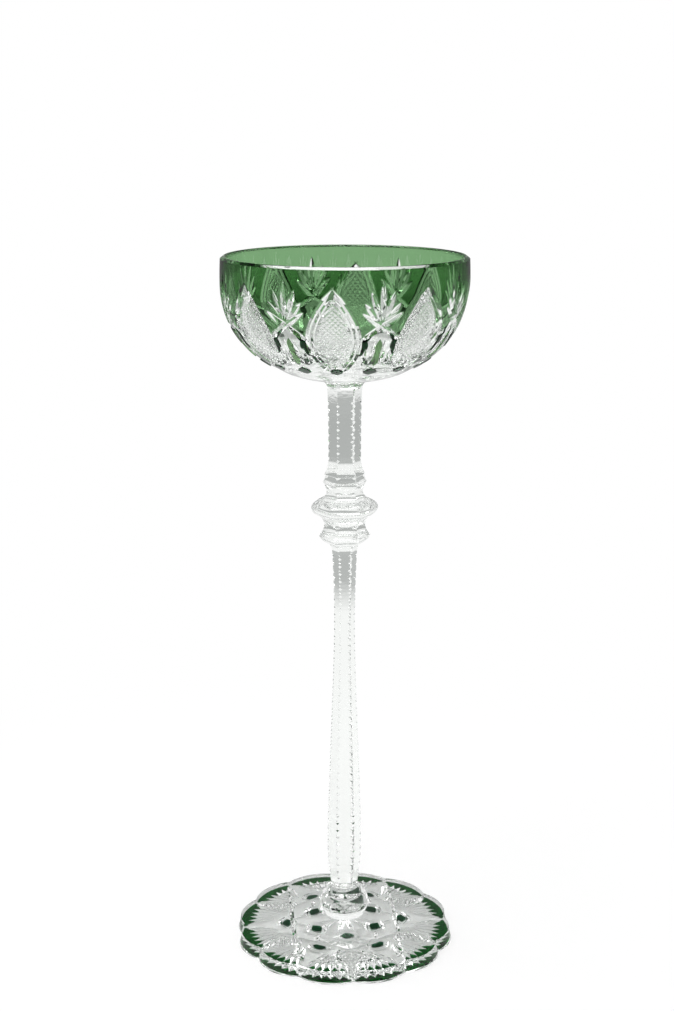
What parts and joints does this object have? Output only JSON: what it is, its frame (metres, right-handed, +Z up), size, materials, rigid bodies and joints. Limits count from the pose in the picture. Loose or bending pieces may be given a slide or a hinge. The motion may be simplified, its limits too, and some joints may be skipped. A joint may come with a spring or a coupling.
{
  "type": "champagne coupe",
  "caption": "Tall stemmed cut-glass champagne coupe: clear crystal, six-sided notched stem, scalloped foot and a green casing cut through to clear.",
  "frame": {"origin": "on the axis of the glass, at the level of the surface the foot stands on", "axes": "+Z up along the stem to the rim; -Y is the front, square to one flat panel of the six-sided stem"},
  "size_m": [0.0956, 0.0956, 0.2818],
  "materials": {
    "crystal": "polished clear crystal",
    "green_casing": "polished transparent green glass"
  },
  "bodies": {
    "root": {"foot_crystal": "crystal", "foot_button": "crystal", "lower_shank": "crystal", "lower_collar": "crystal", "knop": "crystal", "upper_collar": "crystal", "upper_shank": "crystal", "merese": "crystal", "bowl_crystal": "crystal", "foot_crescent_1": "green_casing", "foot_crescent_2": "green_casing", "foot_crescent_3": "green_casing", "foot_crescent_4": "green_casing", "foot_crescent_5": "green_casing", "foot_crescent_6": "green_casing", "foot_crescent_7": "green_casing", "foot_crescent_8": "green_casing", "foot_crescent_9": "green_casing", "foot_crescent_10": "green_casing", "foot_crescent_11": "green_casing", "foot_crescent_12": "green_casing", "foot_lozenge_1": "green_casing", "foot_lozenge_2": "green_casing", "foot_lozenge_3": "green_casing", "foot_lozenge_4": "green_casing", "foot_lozenge_5": "green_casing", "foot_lozenge_6": "green_casing", "foot_lozenge_7": "green_casing", "foot_lozenge_8": "green_casing", "foot_lozenge_9": "green_casing", "foot_lozenge_10": "green_casing", "foot_lozenge_11": "green_casing", "foot_lozenge_12": "green_casing", "bowl_casing": "green_casing", "casing_lens_1": "green_casing", "casing_lens_2": "green_casing", "casing_lens_3": "green_casing", "casing_lens_4": "green_casing", "casing_lens_5": "green_casing", "casing_lens_6": "green_casing", "casing_lens_7": "green_casing", "casing_lens_8": "green_casing", "casing_drop_1": "green_casing", "casing_drop_2": "green_casing", "casing_drop_3": "green_casing", "casing_drop_4": "green_casing", "casing_drop_5": "green_casing", "casing_drop_6": "green_casing", "casing_drop_7": "green_casing", "casing_drop_8": "green_casing", "casing_drop_9": "green_casing", "casing_drop_10": "green_casing", "casing_drop_11": "green_casing", "casing_drop_12": "green_casing", "casing_drop_13": "green_casing", "casing_drop_14": "green_casing", "casing_drop_15": "green_casing", "casing_drop_16": "green_casing"}
  },
  "joints": []
}
